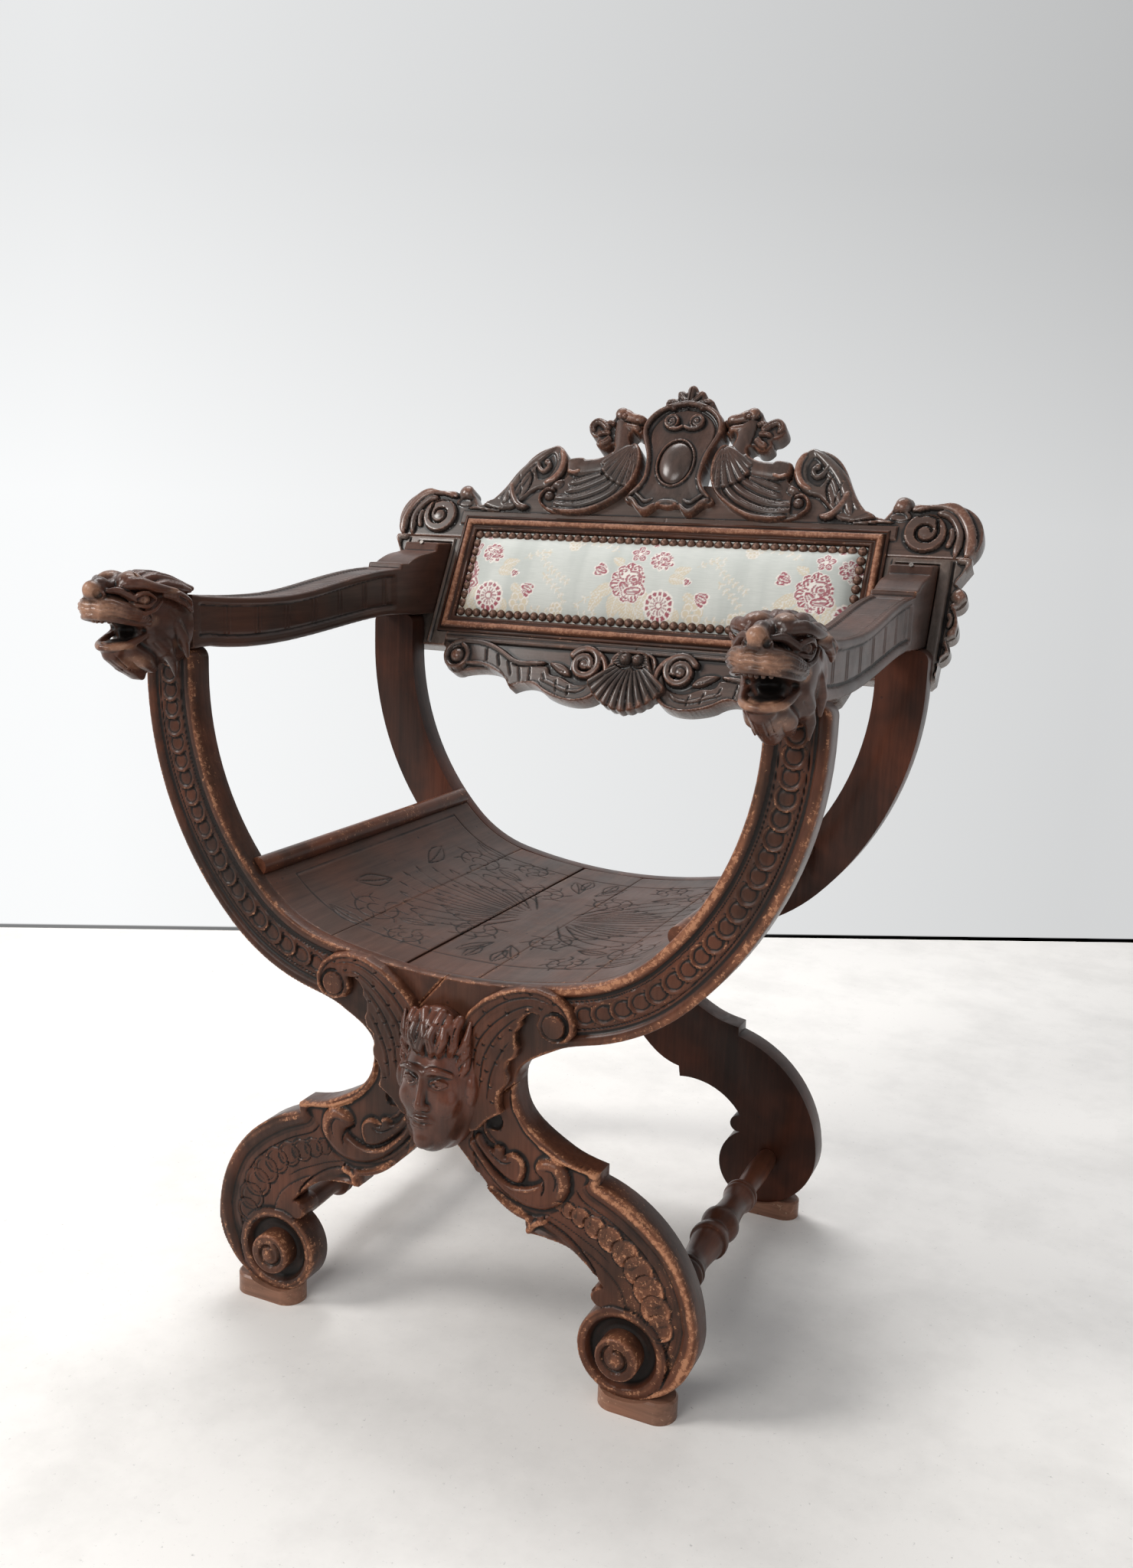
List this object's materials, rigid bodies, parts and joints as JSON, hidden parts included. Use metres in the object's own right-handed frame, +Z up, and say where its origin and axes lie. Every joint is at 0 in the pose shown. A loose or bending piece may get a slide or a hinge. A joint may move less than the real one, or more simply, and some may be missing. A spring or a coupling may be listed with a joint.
{
  "type": "x frame armchair",
  "caption": "X-frame armchair of carved dark wood with dished plank seat, beast-head arms, raked back with crested rail and an upholstered panel.",
  "frame": {"origin": "on the floor, under the middle of the chair's bounding box", "axes": "+Z up, the sitter faces -Y, +X to the right seen from the front"},
  "size_m": [0.7762, 0.7615, 1.0132],
  "materials": {
    "walnut_carved": "dark waxed walnut, carved, edges rubbed to orange brown",
    "walnut_plain": "dark waxed walnut, plain",
    "walnut_sole": "lighter worn walnut",
    "dowel_wood": "turned hardwood",
    "brocade": "pale woven satin brocade with rose bouquets",
    "nail_brass": "dark bronzed dome",
    "steel": "plain"
  },
  "bodies": {
    "root": {"apron_rail": "walnut_carved", "apron_shell": "walnut_carved", "arm_dowels": "dowel_wood", "arm_left": "walnut_carved", "arm_right": "walnut_carved", "arm_screws": "steel", "back_dowels": "dowel_wood", "back_pad": "brocade", "back_stile_left": "walnut_carved", "back_stile_right": "walnut_carved", "backing_panel": "walnut_plain", "cartouche": "walnut_carved", "crest_rail": "walnut_carved", "foot_button_left": "walnut_carved", "foot_button_right": "walnut_carved", "foot_pad_front_left": "walnut_sole", "foot_pad_front_right": "walnut_sole", "foot_pad_rear_left": "walnut_sole", "foot_pad_rear_right": "walnut_sole", "front_member_left": "walnut_carved", "front_member_right": "walnut_carved", "griffin_left": "walnut_carved", "griffin_right": "walnut_carved", "head_dowels": "dowel_wood", "lap_pegs": "dowel_wood", "lion_head_left": "walnut_carved", "lion_head_right": "walnut_carved", "mask": "walnut_carved", "moulding_bottom": "walnut_carved", "moulding_left": "walnut_carved", "moulding_right": "walnut_carved", "moulding_top": "walnut_carved", "rear_member_left": "walnut_plain", "rear_member_right": "walnut_plain", "seat_board_1": "walnut_plain", "seat_board_2": "walnut_plain", "seat_board_3": "walnut_plain", "seat_board_4": "walnut_plain", "seat_board_5": "walnut_plain", "seat_nosing_left": "walnut_plain", "seat_nosing_right": "walnut_plain", "stretcher_left": "walnut_plain", "stretcher_right": "walnut_plain", "upholstery_nails": "nail_brass", "wing_left": "walnut_carved", "wing_right": "walnut_carved"}
  },
  "joints": []
}
